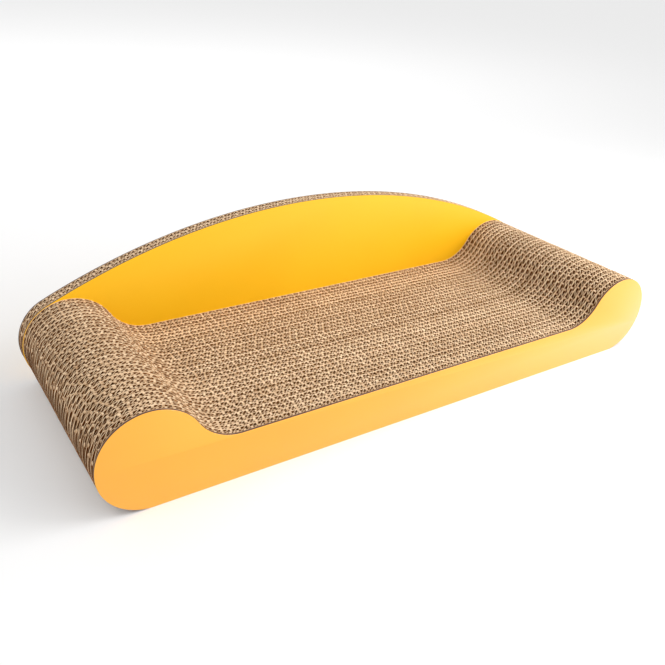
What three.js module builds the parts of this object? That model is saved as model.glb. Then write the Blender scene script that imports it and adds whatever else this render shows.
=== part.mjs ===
// Cat scratcher lounger: a low lounge of upright board layers glued face to face, with a rounded
// arm at each end, a flat seat between them and an arched backrest behind.
// Millimetres, +X along the length, +Y from the front panel to the backrest, +Z up.
// The origin is on the floor, under the middle of the whole lounger.

import * as THREE from 'three';

// Outline of the seat and its arms
const LOUNGE_LENGTH = 630;                  // end to end over the arms
const ARM_RADIUS = 44;                      // round of an arm, from the floor up and over its top
const SEAT_HEIGHT = 44;                     // floor to the flat of the seat
const SEAT_FILLET_RADIUS = 44;              // hollow round from the seat up to an arm

// Outline of the backrest
const BACKREST_HEIGHT = 150;                // floor to the crown of the arch
const BACKREST_OVERHANG = 0.6;              // how far it stands proud of the arms all round

// Layers
const BOARD_THICKNESS = 6.4;                // double-wall corrugated board
const PANEL_THICKNESS = 1.8;                // printed solid board
const GLUE_LINE = 0.1;                      // glue film between neighbouring layers
const SEAT_BOARD_COUNT = 32;
const BACKREST_BOARD_COUNT = 2;

// How far a facet of a round may lie inside the true curve
const CHORD_TOLERANCE = 0.2;

// Centre of the right-hand arm's round, as (along, up)
const armCentre = new THREE.Vector2(LOUNGE_LENGTH / 2 - ARM_RADIUS, ARM_RADIUS);

// The point at a distance and an angle from a centre
function pointAt(centre, distance, angle) {
  const x = centre.x + distance * Math.cos(angle);
  const y = centre.y + distance * Math.sin(angle);
  return new THREE.Vector2(x, y);
}

// Points along a round, without its first one, on which the stretch before it ends
function roundPoints(centre, radius, startAngle, endAngle) {
  const facetAngle = 2 * Math.acos(1 - CHORD_TOLERANCE / radius);
  const turn = endAngle - startAngle;
  const steps = Math.ceil(Math.abs(turn) / facetAngle);
  const points = [];
  for (let step = 1; step <= steps; step += 1) {
    points.push(pointAt(centre, radius, startAngle + (turn * step) / steps));
  }
  return points;
}

// A closed outline, from its right-hand half in order from the floor up and its mirror image
function symmetricShape(rightHalf) {
  const onMiddle = rightHalf[rightHalf.length - 1].x === 0;
  const mirrored = onMiddle ? rightHalf.slice(0, -1) : rightHalf;
  const leftHalf = mirrored.map((point) => new THREE.Vector2(-point.x, point.y));
  return new THREE.Shape([...rightHalf, ...leftHalf.reverse()]);
}

// Seat and arms: an arm's round and its hollow fillet run into each other without a corner
function seatShape() {
  const filletHeight = SEAT_HEIGHT + SEAT_FILLET_RADIUS;
  const centreDistance = ARM_RADIUS + SEAT_FILLET_RADIUS;
  const lean = Math.acos((filletHeight - armCentre.y) / centreDistance);
  const filletCentre = pointAt(armCentre, centreDistance, Math.PI / 2 + lean);
  return symmetricShape([
    new THREE.Vector2(armCentre.x, 0),
    ...roundPoints(armCentre, ARM_RADIUS, -Math.PI / 2, Math.PI / 2 + lean),
    ...roundPoints(filletCentre, SEAT_FILLET_RADIUS, lean - Math.PI / 2, -Math.PI / 2),
  ]);
}

// Backrest: the arms' rounds set out by the overhang, and an arch that starts tangent to them
function backrestShape() {
  const endRadius = ARM_RADIUS + BACKREST_OVERHANG;
  const footAngle = -Math.asin(ARM_RADIUS / endRadius);
  const rise = BACKREST_HEIGHT - armCentre.y;
  const archRadius = (armCentre.x ** 2 + rise ** 2 - endRadius ** 2) / (2 * (rise - endRadius));
  const archCentre = new THREE.Vector2(0, BACKREST_HEIGHT - archRadius);
  const archAngle = Math.atan2(armCentre.y - archCentre.y, armCentre.x);
  const crown = new THREE.Vector2(0, BACKREST_HEIGHT);
  return symmetricShape([
    new THREE.Vector2(armCentre.x + endRadius * Math.cos(footAngle), 0),
    ...roundPoints(armCentre, endRadius, footAngle, archAngle),
    ...roundPoints(archCentre, archRadius, archAngle, Math.PI / 2).slice(0, -1),
    crown,
  ]);
}

// Materials
const printedBoard = new THREE.MeshStandardMaterial({ color: 0xfbb81c, roughness: 0.4, metalness: 0 });
const corrugatedBoard = new THREE.MeshStandardMaterial({ color: 0xc8a57d, roughness: 0.9, metalness: 0 });

// A run of like layers, numbered from the front, listed from the rear
function boardLayers(baseName, count, shape) {
  const digits = String(count).length;
  const layers = [];
  for (let number = count; number >= 1; number -= 1) {
    const name = `${baseName}_${String(number).padStart(digits, '0')}`;
    layers.push({ name, shape, thickness: BOARD_THICKNESS, material: corrugatedBoard });
  }
  return layers;
}

// One printed panel
function panelLayer(name, shape) {
  return { name, shape, thickness: PANEL_THICKNESS, material: printedBoard };
}

// All layers in the order in which they are stacked on the rear panel
const seat = seatShape();
const backrest = backrestShape();
const layers = [
  panelLayer('backrest_rear_panel', backrest),
  ...boardLayers('backrest_board', BACKREST_BOARD_COUNT, backrest),
  panelLayer('backrest_front_panel', backrest),
  ...boardLayers('seat_board', SEAT_BOARD_COUNT, seat),
  panelLayer('front_panel', seat),
];

// The stack is laid up along its own +Z, then stood up so that this runs towards the front
const lounger = new THREE.Group();
let stackDepth = 0;
for (const { name, shape, thickness, material } of layers) {
  const geometry = new THREE.ExtrudeGeometry(shape, { depth: thickness, bevelEnabled: false });
  const mesh = new THREE.Mesh(geometry, material);
  mesh.name = name;
  mesh.position.z = stackDepth;
  lounger.add(mesh);
  stackDepth += thickness + GLUE_LINE;
}
const overallDepth = stackDepth - GLUE_LINE;
lounger.rotation.x = Math.PI / 2;
lounger.position.y = overallDepth / 2;

export default lounger;
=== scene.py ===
"""Cat scratcher lounger, dressed for its picture.

Every corrugated board is built as the real thing, three liners with a low and a tall fluted sheet
between them, all standing on edge, so that the seat shows the open ends of the flutes. The three
printed panels have a yellow face with a rolled rim, and a dark core that shows along their edges.
"""
import math

import bpy
import numpy as np
from mathutils import Matrix, Vector


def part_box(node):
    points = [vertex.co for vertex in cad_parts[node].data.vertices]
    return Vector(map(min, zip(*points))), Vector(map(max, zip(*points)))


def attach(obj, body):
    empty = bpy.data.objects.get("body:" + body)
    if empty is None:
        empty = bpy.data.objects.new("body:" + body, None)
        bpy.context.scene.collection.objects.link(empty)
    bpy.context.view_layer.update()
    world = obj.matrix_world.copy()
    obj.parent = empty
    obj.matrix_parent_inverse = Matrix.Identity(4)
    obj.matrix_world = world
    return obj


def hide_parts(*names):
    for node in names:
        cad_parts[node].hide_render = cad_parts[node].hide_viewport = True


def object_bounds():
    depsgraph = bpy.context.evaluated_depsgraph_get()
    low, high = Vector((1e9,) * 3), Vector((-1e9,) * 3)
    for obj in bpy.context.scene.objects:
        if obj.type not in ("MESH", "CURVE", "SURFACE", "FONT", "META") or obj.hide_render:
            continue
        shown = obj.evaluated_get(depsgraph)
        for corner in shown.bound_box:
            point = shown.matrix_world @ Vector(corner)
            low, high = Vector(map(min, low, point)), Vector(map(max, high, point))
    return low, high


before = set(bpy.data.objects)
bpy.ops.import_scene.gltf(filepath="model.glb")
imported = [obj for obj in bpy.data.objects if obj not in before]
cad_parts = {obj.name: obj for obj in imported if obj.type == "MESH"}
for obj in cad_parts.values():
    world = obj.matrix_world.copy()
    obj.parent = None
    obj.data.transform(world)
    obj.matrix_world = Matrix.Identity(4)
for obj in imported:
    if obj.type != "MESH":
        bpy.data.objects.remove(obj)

CAD_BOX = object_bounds()
MM = 0.001

# Outline of the seat, its arms and the backrest, the same values as in the solids
HALF_LENGTH = 315.0 * MM
ARM_RADIUS = 44.0 * MM
SEAT_HEIGHT = 44.0 * MM
SEAT_FILLET_RADIUS = 44.0 * MM
BACKREST_HEIGHT = 150.0 * MM
BACKREST_OVERHANG = 0.6 * MM
ARC_STEP = math.radians(2.0)
ARCH_STEP = math.radians(0.5)

# Corrugated board, through its thickness
OUTER_LINER = 0.45 * MM           # thickness of the two outer liners
MIDDLE_LINER = 0.24 * MM          # and of the one between the flutes
MEDIUM_THICKNESS = 0.3 * MM       # and of the fluted sheets
GLUE_LINE = 0.1 * MM              # between two boards
LOW_SHARE = 0.38                  # share of the fluted depth taken by the low flute
LOW_FLUTE_LENGTH = 6.5 * MM       # one wave of the low flute
TALL_FLUTE_LENGTH = 7.9 * MM      # one wave of the tall flute
FLUTE_STEEPNESS = 2.6             # how steep the flanks of a wave are, next to the broad tips
FLUTE_LEAN = 0.8                  # how far the waves lean along the length, per depth
BOARD_SHEETS = 5                  # three liners and two fluted sheets

# Facets of a sheet
LINER_STATIONS = 480              # along a liner
WAVE_STEPS = 14                   # along one wave of a fluted sheet
WAVE_SAMPLES = 721                # on which a wave is measured before it is parted into those
TIP_STATIONS = np.array([0.04, 0.12, 0.3, 0.55]) * MM   # extra ones near the tip of an arm
TIP_CLEARANCE = 1.5               # the waves end at this many times the last of those
SPARE_WAVES = 2                   # past each end, because the shift and the lean bring some inside
LEAST_HEIGHT = 0.1 * MM           # of a sheet at the tip of an arm
CREASE_ANGLE = math.radians(48.0)  # edges sharper than this stay crisp

# The cut edge of a sheet
CUT_ZONE = 3.0 * MM               # how far below a cut the colour keeps changing, from the pale cut edge into painted shade
CUT_ZONE_LIMIT = 1 / 3            # and the share of a sheet's height that this takes at most
BURR_DEPTH = 0.45 * MM            # how far down the blade spread the paper
BURR_LIMIT = 1 / 2                # and the share of the zone that this takes at most
LINER_BURR = 0.06 * MM            # how far it spread a liner to each side at the cut
RISING_BURR = 0.45 * MM           # and the flanks of a fluted sheet that run to the rear
FALLING_BURR = 1.25 * MM          # and those that run back to the front
MEDIUM_BURR_SIDEWAYS = 0.25       # share of that across the board, as at the tips of the waves
BURR_SPREAD = 0.22                # how much the burr varies along a sheet
BURR_STATIONS = 3                 # and over how many stations
FRAY = (0.79, 1.1)                # how far it spread the flutes of one board, against the typical
FRAY_LOSS = 0.24                  # how much less of that there is at the rear of the lounger

# How unevenly the paper was cut and glued up
CUT_FUZZ = 0.06 * MM              # of the height, from one station to the next
CUT_WAVINESS = 0.06 * MM          # of the height, along a sheet
CUT_WAVE_STATIONS = 40            # and over how many stations
SHEET_RISE = 0.09 * MM            # of the height, from one sheet to the next
LINER_RISE = 0.12 * MM            # how much more the liners stand out than the fluted sheets
SHEET_SHORTFALL = 0.25 * MM       # how far a sheet typically stops short of the tip of an arm
FLUTE_SHIFT = 2.8 * MM            # typical shift of the flutes from one board to the next
FLUTE_WANDER = 0.12 * MM          # how unevenly the waves of a sheet are spaced
FLUTE_WANDER_KNOTS = 24           # places along a sheet where that is set
SEED = 20

# Tone of the paper, where a higher one is paler
BOARD_TONE = 0.15                 # how much it varies from one board to the next
SHEET_TONE = 0.2                  # and from one fluted sheet to the next
BACKREST_TONE = 0.5               # how much paler the boards of the backrest are than the seat's
TIP_HIGHLIGHT_AND_SHADE = 1.0                    # how much paler the rear tips of a fluted sheet are painted than its flanks, as painted highlight, and how much darker its front tips, as painted shade
OUTER_LINER_TONE = (0.1, 0.8)     # of the outer liners against the board, and its spread
OUTER_LINER_GAIN = 1.6            # how much paler still they are at the rear of the lounger
MIDDLE_LINER_TONE = (-0.8, 0.6)   # of the middle liner against the board, and its spread
SPECK_TONE = 0.6                  # how much the tone of a sheet varies along it
SPECK_LENGTH = 1.3 * MM           # and over what length
TONE_RANGE = (-1.2, 1.2)          # tones between which the colour of the paper changes

# Where a board's sheets lie on the map that their colours are baked through, in pixels
MAP_NAME = "OFBake"
MAP_SIZE = 1024
MAP_LENGTHS = 4                   # lengths that a sheet is parted into, one above the other
MAP_STRIPS = (2, 2, 4, 8, 12, 8, 4, 2, 2, 2)   # round a sheet, widest at its upper cut
MAP_GAP = 2                       # between two lengths
MAP_BAND = sum(MAP_STRIPS) + MAP_GAP
MAP_END_RADIUS = 20               # of the ends of the sheets, which lie in a row above the lengths
MAP_END_HEIGHT = (MAP_BAND * MAP_LENGTHS * BOARD_SHEETS + MAP_SIZE) / 2

# Printed panels
PANEL_RIM = 0.22 * MM             # rolled rim of the printed face

# What noise stays within, for the most part
NOISE_RANGE = (0.3, 0.7)


def point_at(centre, distance, angle):
    """The point at a distance and an angle from a centre, as (along, up)."""
    return (centre[0] + distance * math.cos(angle), centre[1] + distance * math.sin(angle))


def round_points(centre, radius, start, end, step):
    """Points along a round of an outline, without its first one."""
    steps = math.ceil(abs(end - start) / step)
    return [point_at(centre, radius, start + (end - start) * i / steps) for i in range(1, steps + 1)]


ARM_CENTRE = (HALF_LENGTH - ARM_RADIUS, ARM_RADIUS)


def seat_outline():
    """Right-hand half of the seat's outline, from the floor round the arm to the seat's middle."""
    reach = ARM_RADIUS + SEAT_FILLET_RADIUS
    lean = math.acos((SEAT_HEIGHT + SEAT_FILLET_RADIUS - ARM_CENTRE[1]) / reach)
    fillet_centre = point_at(ARM_CENTRE, reach, math.pi / 2 + lean)
    points = [(0.0, 0.0), (ARM_CENTRE[0], 0.0)]
    points += round_points(ARM_CENTRE, ARM_RADIUS, -math.pi / 2, math.pi / 2 + lean, ARC_STEP)
    points += round_points(fillet_centre, SEAT_FILLET_RADIUS, lean - math.pi / 2, -math.pi / 2, ARC_STEP)
    return points + [(0.0, SEAT_HEIGHT)]


def backrest_outline():
    """Right-hand half of the backrest's outline, from the floor round the arm to the crown."""
    end_radius = ARM_RADIUS + BACKREST_OVERHANG
    foot_angle = -math.asin(ARM_RADIUS / end_radius)
    rise = BACKREST_HEIGHT - ARM_CENTRE[1]
    arch_radius = (ARM_CENTRE[0] ** 2 + rise ** 2 - end_radius ** 2) / (2 * (rise - end_radius))
    arch_centre = (0.0, BACKREST_HEIGHT - arch_radius)
    arch_angle = math.atan2(ARM_CENTRE[1] - arch_centre[1], ARM_CENTRE[0])
    points = [(0.0, 0.0), (ARM_CENTRE[0] + end_radius * math.cos(foot_angle), 0.0)]
    points += round_points(ARM_CENTRE, end_radius, foot_angle, arch_angle, ARC_STEP)
    points += round_points(arch_centre, arch_radius, arch_angle, math.pi / 2, ARCH_STEP)
    return points[:-1] + [(0.0, BACKREST_HEIGHT)]


class Span:
    """How low and how high an outline reaches at a place along the length."""

    def __init__(self, outline):
        points = np.array(outline)
        tip = int(points[:, 0].argmax())
        self.reach = points[tip, 0]
        self.lower = points[:tip + 1]
        self.upper = points[tip:][::-1]

    def low(self, x):
        """Height of the foot at places along the length."""
        return np.interp(np.abs(x), self.lower[:, 0], self.lower[:, 1])

    def high(self, x):
        """Height of the top at places along the length."""
        return np.interp(np.abs(x), self.upper[:, 0], self.upper[:, 1])


class Sheets:
    """Collects upright sheets of paper into one mesh.

    At each station along its length a sheet is a ring of ten points: up its front side from the
    lower cut to the upper one, and down its back side. Each point keeps the tone of its sheet and
    its depth below the nearer cut, with which the paper's colour darkens as painted shade.
    """

    FRONT_SIDE = (0, 1, 2, 3, 4)      # places of a ring from the foot up
    BACK_SIDE = (9, 8, 7, 6, 5)
    RING = len(FRONT_SIDE) + len(BACK_SIDE)

    def __init__(self):
        self.count = 0
        self.points, self.faces, self.tones, self.depths, self.places = [], [], [], [], []

    def add(self, front, back, front_cut, back_cut, span, rise, tone):
        """One sheet, from the plans of its two sides, also where the blade spread them at the cut.

        The upper cut stands out by rise.
        """
        stations = len(front)
        stretch = span.reach / np.abs(front[:, 0]).max()
        rings = np.zeros((stations, self.RING, 3))
        depths = np.zeros((stations, self.RING))
        for plan, cut, order in ((front, front_cut, self.FRONT_SIDE), (back, back_cut, self.BACK_SIDE)):
            foot = span.low(plan[:, 0] * stretch)
            top = np.maximum(span.high(plan[:, 0] * stretch) + rise, foot + LEAST_HEIGHT)
            zone = np.minimum(CUT_ZONE, (top - foot) * CUT_ZONE_LIMIT)
            burr_depth = np.minimum(BURR_DEPTH, zone * BURR_LIMIT)
            # Plan, height and depth below the nearer cut, from the foot up
            rows = (
                (plan, foot, 0.0),
                (plan, foot + zone, zone),
                (plan, top - zone, zone),
                (plan, top - burr_depth, np.maximum(burr_depth - rise, 0.0)),
                (cut, top, 0.0),
            )
            for place, (side, height, depth) in zip(order, rows):
                rings[:, place, :2] = side
                rings[:, place, 2] = height
                depths[:, place] = depth
        here = self.count + self.RING * np.arange(stations - 1)
        for place in range(self.RING):
            other = (place + 1) % self.RING
            quads = (here + place, here + self.RING + place, here + self.RING + other, here + other)
            self.faces += np.stack(quads, axis=1).tolist()
        first = self.count + np.arange(self.RING)
        last = first + self.RING * (stations - 1)
        self.faces += [first[::-1].tolist(), last.tolist()]
        self.lay_out(len(self.points), stations)
        self.points.append(rings.reshape(-1, 3))
        self.depths.append(depths.reshape(-1))
        self.tones.append(np.repeat(tone, self.RING))
        self.count += self.RING * stations

    def lay_out(self, sheet, stations):
        """Where the corners of a sheet's faces lie on the map, in the order of the faces.

        Each length of the sheet is a band across the map, with the strips round it one above the
        other.
        """
        borders = np.linspace(0, stations - 1, MAP_LENGTHS + 1).round().astype(int)
        here = np.arange(stations - 1)
        length = np.searchsorted(borders, here, side="right") - 1
        scale = (MAP_SIZE - 2 * MAP_GAP) / np.diff(borders)[length]
        left = MAP_GAP + scale * (here - borders[length])
        right = left + scale
        lower = MAP_BAND * (MAP_LENGTHS * sheet + length) + MAP_GAP / 2
        for width in MAP_STRIPS:
            upper = lower + width
            corners = np.stack([left, lower, right, lower, right, upper, left, upper], axis=1)
            self.places.append(corners.reshape(-1, 2))
            lower = upper
        turn = 2 * math.pi * np.arange(self.RING) / self.RING
        rim = MAP_END_RADIUS * np.stack([np.cos(turn), np.sin(turn)], axis=1)
        for end in (2 * sheet, 2 * sheet + 1):
            along = (end + 1 / 2) * MAP_SIZE / (2 * BOARD_SHEETS)
            self.places.append(np.array([along, MAP_END_HEIGHT]) + rim)

    def mesh(self, name):
        """The mesh of all sheets so far."""
        mesh = bpy.data.meshes.new(name)
        mesh.from_pydata(np.concatenate(self.points).tolist(), [], self.faces)
        for attribute, values in (("tone", self.tones), ("depth", self.depths)):
            data = mesh.attributes.new(attribute, "FLOAT", "POINT").data
            data.foreach_set("value", np.concatenate(values).astype(np.float32))
        places = np.concatenate(self.places) / MAP_SIZE
        mesh.uv_layers.new(name=MAP_NAME).uv.foreach_set("vector", places.astype(np.float32).ravel())
        finish_mesh(mesh)
        return mesh


def finish_mesh(mesh):
    """Smooth rounds with crisp edges."""
    mesh.polygons.foreach_set("use_smooth", np.ones(len(mesh.polygons), dtype=bool))
    mesh.set_sharp_from_angle(angle=CREASE_ANGLE)
    mesh.update()


def uneven_cut(random, count):
    """How far the cut edge of a sheet stands out along its stations."""
    knots = np.arange(0, count + CUT_WAVE_STATIONS, CUT_WAVE_STATIONS)
    slow = np.interp(np.arange(count), knots, random.normal(0.0, CUT_WAVINESS, len(knots)))
    return random.normal(0.0, CUT_FUZZ, count) + slow + random.normal(0.0, SHEET_RISE)


def burr(random, width, x):
    """How far the blade spread a sheet to one side at places along it, less where an arm rounds off."""
    count = len(x)
    knots = np.arange(0, count + BURR_STATIONS, BURR_STATIONS)
    spread = np.interp(np.arange(count), knots, random.normal(1.0, BURR_SPREAD, len(knots)))
    past_top = np.clip((np.abs(x) - ARM_CENTRE[0]) / ARM_RADIUS, 0.0, 1.0)
    return (width * np.maximum(spread, 0.0) * np.sqrt(1.0 - past_top ** 2))[:, None]


def specks(random, x, tone):
    """The tone of a sheet at places along it, uneven about its own."""
    knots = np.arange(-HALF_LENGTH, HALF_LENGTH + SPECK_LENGTH, SPECK_LENGTH)
    return tone + np.interp(x, knots, random.normal(0.0, SPECK_TONE, len(knots)))


def from_front(y):
    """How far back a place is, from 0 at the front of the lounger to 1 at its rear."""
    return (y - CAD_BOX[0][1]) / (CAD_BOX[1][1] - CAD_BOX[0][1])


def sheet_reach(span, random):
    """How far a sheet reaches along the length, a little short of the tip of an arm."""
    return span.reach - abs(random.normal(0.0, SHEET_SHORTFALL))


def liner(sheets, span, random, y, board_tone, way):
    """A flat liner whose front side is at y. Returns where its back side is.

    way is -1 or 1 for the outer liner at the front or the rear, whose outer side is glued, and 0
    for the one in the middle.
    """
    thickness, tone = (OUTER_LINER, OUTER_LINER_TONE) if way else (MIDDLE_LINER, MIDDLE_LINER_TONE)
    gain = OUTER_LINER_GAIN * from_front(y) if way else 0.0
    tone = board_tone + random.normal(*tone) + gain
    x = sheet_reach(span, random) * np.sin(np.linspace(-math.pi / 2, math.pi / 2, LINER_STATIONS))
    front = np.stack([x, np.full_like(x, y)], axis=1)
    back = front + np.array([0.0, thickness])
    glued = np.full((LINER_STATIONS, 1), GLUE_LINE / 2)
    front_cut = front - np.array([0.0, 1.0]) * (glued if way < 0 else burr(random, LINER_BURR, x))
    back_cut = back + np.array([0.0, 1.0]) * (glued if way > 0 else burr(random, LINER_BURR, x))
    rise = LINER_RISE + uneven_cut(random, LINER_STATIONS)
    sheets.add(front, back, front_cut, back_cut, span, rise, specks(random, x, tone))
    return y + thickness


def one_wave(swing, wave):
    """Points along one wave of a fluted sheet, as (along, sideways), evenly spaced along the paper."""
    turn = np.linspace(0.0, 2 * math.pi, WAVE_SAMPLES)
    along = wave * turn / (2 * math.pi)
    sideways = swing * np.tanh(FLUTE_STEEPNESS * np.sin(turn)) / math.tanh(FLUTE_STEEPNESS)
    along = along + FLUTE_LEAN * sideways
    paper = np.concatenate([[0.0], np.cumsum(np.hypot(np.diff(along), np.diff(sideways)))])
    even = np.linspace(0.0, paper[-1], WAVE_STEPS, endpoint=False)
    return np.interp(even, paper, along), np.interp(even, paper, sideways)


def medium(sheets, span, random, y, depth, wave, shift, fray, tone):
    """A fluted sheet that fills the depth behind y, with waves along the length."""
    reach = sheet_reach(span, random)
    # Waves from end to end, not quite evenly spaced
    along, sideways = one_wave((depth - MEDIUM_THICKNESS) / 2, wave)
    count = math.ceil(reach / wave) + SPARE_WAVES
    waves = np.arange(-count, count)
    x = (shift % wave + wave * waves[:, None] + along).ravel()
    middle = y + depth / 2 + np.tile(sideways, len(waves))
    knots = np.linspace(-reach, reach, FLUTE_WANDER_KNOTS)
    x = x + np.interp(x, knots, random.normal(0.0, FLUTE_WANDER, FLUTE_WANDER_KNOTS))
    # The plan of the sheet, with closer facets where the arms round off
    tips = reach - np.concatenate([[0.0], TIP_STATIONS])
    inside = np.abs(x) < reach - TIP_CLEARANCE * TIP_STATIONS[-1]
    plan = np.stack([
        np.concatenate([-tips, x[inside], tips[::-1]]),
        np.pad(middle[inside], len(tips), mode="edge"),
    ], axis=1)
    # Its two sides, and where the blade spread them at the cut
    tangent = np.gradient(plan, axis=0)
    tangent /= np.linalg.norm(tangent, axis=1)[:, None]
    across = np.stack([-tangent[:, 1], tangent[:, 0]], axis=1)
    front = plan - across * MEDIUM_THICKNESS / 2
    back = plan + across * MEDIUM_THICKNESS / 2
    spread = across * np.array([1.0, MEDIUM_BURR_SIDEWAYS])
    width = fray * np.where(tangent[:, 1] > 0, RISING_BURR, FALLING_BURR)
    front_cut = front - spread * burr(random, width, plan[:, 0])
    back_cut = back + spread * burr(random, width, plan[:, 0])
    for side in (front, back, front_cut, back_cut):
        side[:, 0] = np.clip(side[:, 0], -reach, reach)
        side[:, 1] = np.clip(side[:, 1], y, y + depth)
    rise = uneven_cut(random, len(plan))
    # Painted highlight on the rear tips of the waves and painted shade on their front tips
    tipped = (plan[:, 1] - y - depth / 2) / (depth / 2)
    tones = specks(random, plan[:, 0], tone) + TIP_HIGHLIGHT_AND_SHADE * tipped
    sheets.add(front, back, front_cut, back_cut, span, rise, tones)


def corrugated_board(node, span, material, shift, tone, seed):
    """A double-wall board in place of a solid slab, with its flutes shifted along the length."""
    random = np.random.default_rng(seed)
    low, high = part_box(node)
    fluted = high[1] - low[1] - 2 * OUTER_LINER - MIDDLE_LINER
    flutes = ((fluted * LOW_SHARE, LOW_FLUTE_LENGTH), (fluted * (1 - LOW_SHARE), TALL_FLUTE_LENGTH))
    board_tone = random.normal(tone, BOARD_TONE)
    fray = random.uniform(*FRAY) * (1.0 - FRAY_LOSS * from_front(low[1]))
    sheets = Sheets()
    y = low[1]
    for way, (depth, wave) in zip((-1, 0), flutes):
        y = liner(sheets, span, random, y, board_tone, way)
        medium_tone = board_tone + random.normal(0.0, SHEET_TONE)
        medium(sheets, span, random, y, depth, wave, shift, fray, medium_tone)
        y += depth
    liner(sheets, span, random, y, board_tone, 1)
    stand_in(node, node + "_flutes", sheets.mesh(node + "_flutes"), [material])


def printed_panel(node, outline, materials, print_side):
    """A solid board panel: printed face with a rolled rim, and a core that shows along its edge.

    print_side is -1 where the print faces the front and 1 where it faces the rear.
    """
    low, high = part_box(node)
    ring = np.array(outline[1:] + [(-x, z) for x, z in reversed(outline[1:]) if x > 0])
    ahead = np.roll(ring, -1, axis=0) - ring
    ahead /= np.linalg.norm(ahead, axis=1)[:, None]
    tangent = ahead + np.roll(ahead, 1, axis=0)
    tangent /= np.linalg.norm(tangent, axis=1)[:, None]
    inward = np.stack([-tangent[:, 1], tangent[:, 0]], axis=1)
    face_y = low[1] if print_side < 0 else high[1]
    rim = PANEL_RIM * (1 - math.cos(math.pi / 4))
    # Inset and depth of each ring of points, from the printed face to the other side
    layers = ((PANEL_RIM, 0.0), (rim, rim), (0.0, PANEL_RIM), (0.0, high[1] - low[1]))
    points = []
    for inset, depth in layers:
        y = face_y - print_side * depth
        points += [(x, y, max(z, 0.0)) for x, z in ring + inward * inset]
    count = len(ring)
    faces = [list(range(count))]
    for layer in range(len(layers) - 1):
        for i in range(count):
            here, there = layer * count + i, layer * count + (i + 1) % count
            faces.append([there, here, here + count, there + count])
    faces.append(list(range(count * len(layers) - 1, count * (len(layers) - 1) - 1, -1)))
    if print_side > 0:
        faces = [face[::-1] for face in faces]
    printed_faces = 1 + 2 * count
    slots = np.zeros(len(faces), dtype=np.int32)
    slots[printed_faces:] = 1
    mesh = bpy.data.meshes.new(node + "_print")
    mesh.from_pydata(points, [], faces)
    mesh.polygons.foreach_set("material_index", slots)
    finish_mesh(mesh)
    stand_in(node, node + "_print", mesh, materials)


def stand_in(node, name, mesh, materials):
    """A piece that takes the node's place on the one body that the lounger has."""
    piece = bpy.data.objects.new(name, mesh)
    bpy.context.scene.collection.objects.link(piece)
    for material in materials:
        mesh.materials.append(material)
    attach(piece, "root")
    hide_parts(node)


# Materials
def linear(red, green, blue):
    """A colour as seen on screen, from 0 to 255, as the shader needs it."""
    def channel(value):
        value /= 255
        return value / 12.92 if value <= 0.04045 else ((value + 0.055) / 1.055) ** 2.4
    return (channel(red), channel(green), channel(blue), 1.0)


class Shader:
    """A material with a Principled surface and short ways to add nodes to it."""

    def __init__(self, name):
        self.material = bpy.data.materials.new(name)
        self.material.use_nodes = True
        self.tree = self.material.node_tree
        self.surface = self.tree.nodes["Principled BSDF"]

    def put(self, socket, value):
        """A link into a socket, or its plain value."""
        if isinstance(value, bpy.types.NodeSocket):
            self.tree.links.new(value, socket)
        else:
            socket.default_value = value

    def look(self, **inputs):
        """Inputs of the surface itself."""
        for name, value in inputs.items():
            self.put(self.surface.inputs[name.replace("_", " ")], value)

    def node(self, kind, **inputs):
        """A new node with these inputs."""
        node = self.tree.nodes.new(kind)
        for name, value in inputs.items():
            self.put(node.inputs[name.replace("_", " ")], value)
        return node

    def noise(self, cells, detail=2.0, roughness=0.5, stretch=(1.0, 1.0, 1.0)):
        """Noise fixed to the object, with so many cells per metre."""
        place = self.node("ShaderNodeTexCoord").outputs["Object"]
        place = self.node("ShaderNodeMapping", Vector=place, Scale=stretch).outputs["Vector"]
        pattern = {"Scale": cells, "Detail": detail, "Roughness": roughness}
        return self.node("ShaderNodeTexNoise", Vector=place, **pattern).outputs["Fac"]

    def attribute(self, name):
        """A value that the points of the mesh keep."""
        node = self.node("ShaderNodeAttribute")
        node.attribute_name = name
        return node.outputs["Fac"]

    def scaled(self, value, low, high, to_low=0.0, to_high=1.0):
        """A value from low to high as one from to_low to to_high."""
        ends = {"From Min": low, "From Max": high, "To Min": to_low, "To Max": to_high}
        return self.node("ShaderNodeMapRange", Value=value, **ends).outputs["Result"]

    def total(self, *values):
        """The sum of values, kept between 0 and 1."""
        total = values[0]
        for value in values[1:]:
            node = self.node("ShaderNodeMath")
            node.use_clamp = value is values[-1]
            self.put(node.inputs[0], total)
            self.put(node.inputs[1], value)
            total = node.outputs["Value"]
        return total

    def ramp(self, value, stops):
        """Colours at places from 0 to 1, the first at 0 and the last at 1."""
        node = self.node("ShaderNodeValToRGB", Fac=value)
        elements = node.color_ramp.elements
        for place, _ in stops[1:-1]:
            elements.new(place)
        for element, (place, colour) in zip(elements, stops):
            element.position = place
            element.color = colour
        return node.outputs["Color"]

    def mix(self, factor, first, second):
        """The first colour where the factor is 0, the second where it is 1."""
        node = self.node("ShaderNodeMix")
        node.data_type = "RGBA"
        self.put(node.inputs["Factor"], factor)
        colours = [socket for socket in node.inputs if socket.type == "RGBA"]
        for socket, value in zip(colours, (first, second)):
            self.put(socket, value)
        return next(socket for socket in node.outputs if socket.type == "RGBA")

    def bump(self, height, strength, distance):
        """Fine relief on the surface."""
        node = self.node("ShaderNodeBump", Height=height, Strength=strength, Distance=distance)
        self.look(Normal=node.outputs["Normal"])


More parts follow.
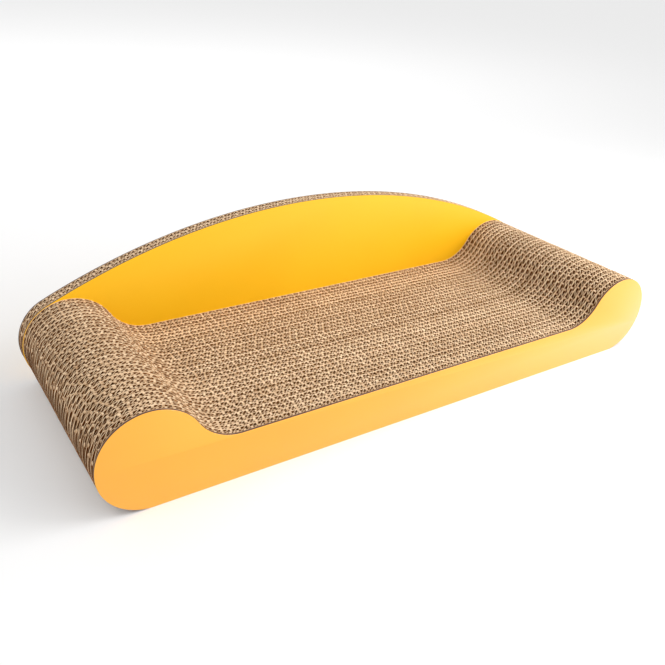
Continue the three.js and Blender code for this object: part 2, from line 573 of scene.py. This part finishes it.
def kraft_paper():
    """Brown kraft paper with fibre flecks: pale at its cut edges, and darker down in the flutes as
    painted shade.
    """
    shader = Shader("kraft_paper")
    flecks = shader.noise(cells=1200.0, detail=4.0, roughness=0.65, stretch=(1.0, 1.0, 0.35))
    blotches = shader.noise(cells=35.0)
    specks = shader.noise(cells=230.0, stretch=(1.0, 0.6, 1.0))
    depth = shader.scaled(shader.attribute("depth"), 0.0, CUT_ZONE)
    # Both ramps paint shade: the paper's colour darkens with depth below the nearer cut, where the
    # flutes lie in shade
    pale = shader.ramp(depth, (
        (0.0, linear(252, 222, 184)),
        (0.05, linear(170, 108, 46)),
        (0.3, linear(146, 82, 26)),
        (1.0, linear(108, 56, 15)),
    ))
    dark = shader.ramp(depth, (
        (0.0, linear(180, 139, 98)),
        (0.05, linear(104, 58, 20)),
        (0.3, linear(82, 43, 13)),
        (1.0, linear(64, 32, 9)),
    ))
    tone = shader.total(
        shader.scaled(shader.attribute("tone"), *TONE_RANGE, to_low=0.1, to_high=0.9),
        shader.scaled(flecks, *NOISE_RANGE, to_low=-0.22, to_high=0.22),
        shader.scaled(blotches, *NOISE_RANGE, to_low=-0.08, to_high=0.08),
        shader.scaled(specks, *NOISE_RANGE, to_low=-0.12, to_high=0.12),
    )
    shader.look(
        Base_Color=shader.mix(tone, dark, pale),
        Roughness=shader.scaled(flecks, *NOISE_RANGE, to_low=0.82, to_high=0.96),
        Specular_IOR_Level=0.1,
    )
    shader.bump(flecks, strength=0.25, distance=0.1 * MM)
    return shader.material


def yellow_print(name, colours, roughness, gloss, sheen):
    """Yellow print on smooth board, a little mottled, with fine paper grain."""
    shader = Shader(name)
    mottle = shader.noise(cells=9.0, detail=3.0)
    grain = shader.noise(cells=2200.0, detail=3.0)
    shader.look(
        Base_Color=shader.mix(shader.scaled(mottle, *NOISE_RANGE), *colours),
        Roughness=shader.scaled(mottle, *NOISE_RANGE, *roughness),
        Specular_IOR_Level=gloss,
        Sheen_Weight=sheen,
        Sheen_Roughness=0.3,
    )
    shader.bump(grain, strength=0.06, distance=0.05 * MM)
    return shader.material


def yellow_front_print():
    """The satin finish of the front panel, which a sheen veils to the right, on a copy of the yellow
    print painted darker and more orange than the backrest's, as painted shade.
    """
    return yellow_print(
        "yellow_front_print",
        # Painted shade: a darker, more orange copy of the backrest's yellow print
        colours=(linear(248, 169, 6), linear(249, 174, 10)),
        roughness=(0.27, 0.33),
        gloss=1.0,
        sheen=0.9,
    )


def yellow_back_print():
    """The plainer finish of the backrest, on a copy of the yellow print painted lighter than the front
    panel's, as painted light.
    """
    return yellow_print(
        "yellow_back_print",
        # Painted light: a lighter copy of the front panel's yellow print
        colours=(linear(252, 188, 2), linear(253, 193, 4)),
        roughness=(0.48, 0.54),
        gloss=0.4,
        sheen=0.0,
    )


def board_core():
    """Pressed purple-brown fibre core, with layers that run along the edge."""
    shader = Shader("board_core")
    layers = shader.noise(cells=500.0, detail=3.0, stretch=(0.05, 6.0, 0.05))
    specks = shader.noise(cells=1500.0)
    base = shader.mix(shader.scaled(layers, *NOISE_RANGE), linear(64, 45, 46), linear(86, 65, 64))
    shown = shader.scaled(specks, 0.5, 0.75, to_low=0.0, to_high=0.4)
    shader.look(
        Base_Color=shader.mix(shown, base, linear(114, 94, 88)),
        Roughness=shader.scaled(specks, *NOISE_RANGE, to_low=0.84, to_high=0.95),
    )
    shader.bump(layers, strength=0.3, distance=0.1 * MM)
    return shader.material


# The lounger
seat_half = seat_outline()
backrest_half = backrest_outline()
seat_span = Span(seat_half)
backrest_span = Span(backrest_half)
kraft = kraft_paper()
core = board_core()
front_look = [yellow_front_print(), core]
back_look = [yellow_back_print(), core]
board_nodes = sorted(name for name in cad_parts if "_board_" in name)
shifts = np.cumsum(np.random.default_rng(SEED).normal(0.0, FLUTE_SHIFT, len(board_nodes)))
for number, (node, shift) in enumerate(zip(board_nodes, shifts)):
    span, tone = (backrest_span, BACKREST_TONE) if node.startswith("backrest") else (seat_span, 0.0)
    corrugated_board(node, span, kraft, shift, tone, SEED + number)
printed_panel("front_panel", seat_half, front_look, -1)
printed_panel("backrest_front_panel", backrest_half, back_look, -1)
printed_panel("backrest_rear_panel", backrest_half, back_look, 1)

# Floor, light and camera
FLOOR_SIZE = 24.0
FLOOR_COLOUR = (0.98, 0.98, 0.98, 1.0)
WORLD_STRENGTH = 0.6              # of the light from all round
SEEN_WORLD_STRENGTH = 1.0         # and of the white that it shows as
LAMPS = (
    # name, direction it comes from, strength, width in degrees
    ("top_lamp", Vector((-0.5, -0.1, 0.86)), 0.72, 40.0),
    ("front_lamp", Vector((0.62, -0.76, 0.2)), 0.75, 30.0),
)
SOFTBOX_AT = Vector((0.7, -0.5, 0.7))
SOFTBOX_SIZE = 0.7
SOFTBOX_POWER = 7.4
FLOOR_LAMP_AT = Vector((-0.5, 1.2, 1.5))
FLOOR_LAMP_AIM = Vector((0.0, 0.8, -0.6))   # past the lounger, so that next to none of it falls there
FLOOR_LAMP_SIZE = (4.0, 0.6)
FLOOR_LAMP_POWER = 14.0

IMAGE_SIZE = 665                  # of the photograph, in pixels
FOCAL_PIXELS = 736.4
SENSOR_MM = 36.0
CAMERA_NEAR = 0.01
CAMERA_YAW = 0.6099
CAMERA_PITCH = 0.4866
CAMERA_ROLL = 0.0667
CAMERA_FROM_FRONT = Vector((-417.6, -433.5, 395.4)) * MM   # from the foot of the front face's middle


def pale_floor():
    """A plain floor that keeps the lounger's shadow."""
    mesh = bpy.data.meshes.new("floor")
    half = FLOOR_SIZE / 2
    corners = [(-half, -half, 0), (half, -half, 0), (half, half, 0), (-half, half, 0)]
    mesh.from_pydata(corners, [], [(0, 1, 2, 3)])
    floor = bpy.data.objects.new("floor", mesh)
    bpy.context.scene.collection.objects.link(floor)
    shader = Shader("pale_floor")
    shader.look(Base_Color=FLOOR_COLOUR, Roughness=0.9, Specular_IOR_Level=0.0)
    mesh.materials.append(shader.material)


def white_surround():
    """An even soft light from all round, which shows as white."""
    world = bpy.data.worlds.new("surround")
    bpy.context.scene.world = world
    world.use_nodes = True
    tree = world.node_tree
    background = tree.nodes["Background"]
    background.inputs["Color"].default_value = (1.0, 1.0, 1.0, 1.0)
    path = tree.nodes.new("ShaderNodeLightPath")
    seen = path.outputs["Is Camera Ray"]
    for name in ("Is Glossy Ray", "Is Transmission Ray"):
        either = tree.nodes.new("ShaderNodeMath")
        either.operation = "MAXIMUM"
        tree.links.new(seen, either.inputs[0])
        tree.links.new(path.outputs[name], either.inputs[1])
        seen = either.outputs["Value"]
    strength = tree.nodes.new("ShaderNodeMapRange")
    strength.inputs["To Min"].default_value = WORLD_STRENGTH
    strength.inputs["To Max"].default_value = SEEN_WORLD_STRENGTH
    tree.links.new(seen, strength.inputs["Value"])
    tree.links.new(strength.outputs["Result"], background.inputs["Strength"])


def add_lamp(light, comes_from, at=Vector()):
    """A lamp at a place, turned so that its light comes from a direction."""
    lamp = bpy.data.objects.new(light.name, light)
    lamp.location = at
    lamp.rotation_euler = comes_from.to_track_quat("Z", "Y").to_euler()
    bpy.context.scene.collection.objects.link(lamp)


def soft_lamp(name, comes_from, strength, width):
    """A far and broad lamp, the same all over the lounger."""
    light = bpy.data.lights.new(name, "SUN")
    light.energy = strength
    light.angle = math.radians(width)
    add_lamp(light, comes_from)


def softbox():
    """A square lamp on the right that faces the lounger."""
    light = bpy.data.lights.new("softbox", "AREA")
    light.size = SOFTBOX_SIZE
    light.energy = SOFTBOX_POWER
    add_lamp(light, SOFTBOX_AT, SOFTBOX_AT)


def floor_lamp():
    """A broad lamp for the floor behind the lounger."""
    light = bpy.data.lights.new("floor_lamp", "AREA")
    light.shape = "RECTANGLE"
    light.size, light.size_y = FLOOR_LAMP_SIZE
    light.energy = FLOOR_LAMP_POWER
    add_lamp(light, -FLOOR_LAMP_AIM, FLOOR_LAMP_AT)


def camera():
    """The photograph's view."""
    forward = Vector((
        math.sin(CAMERA_YAW) * math.cos(CAMERA_PITCH),
        math.cos(CAMERA_YAW) * math.cos(CAMERA_PITCH),
        -math.sin(CAMERA_PITCH),
    ))
    level = Vector((math.cos(CAMERA_YAW), -math.sin(CAMERA_YAW), 0.0))
    upright = level.cross(forward)
    right = level * math.cos(CAMERA_ROLL) + upright * math.sin(CAMERA_ROLL)
    up = upright * math.cos(CAMERA_ROLL) - level * math.sin(CAMERA_ROLL)
    data = bpy.data.cameras.new("camera")
    data.sensor_width = SENSOR_MM
    data.lens = FOCAL_PIXELS / IMAGE_SIZE * SENSOR_MM
    data.clip_start = CAMERA_NEAR
    view = bpy.data.objects.new("camera", data)
    front = Vector((0.0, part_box("front_panel")[0][1], 0.0))
    turn = Matrix((right, up, -forward)).transposed().to_4x4()
    view.matrix_world = Matrix.Translation(front + CAMERA_FROM_FRONT) @ turn
    bpy.context.scene.collection.objects.link(view)
    bpy.context.scene.camera = view


pale_floor()
white_surround()
for lamp in LAMPS:
    soft_lamp(*lamp)
softbox()
floor_lamp()
camera()
bpy.context.scene.view_settings.view_transform = "Standard"
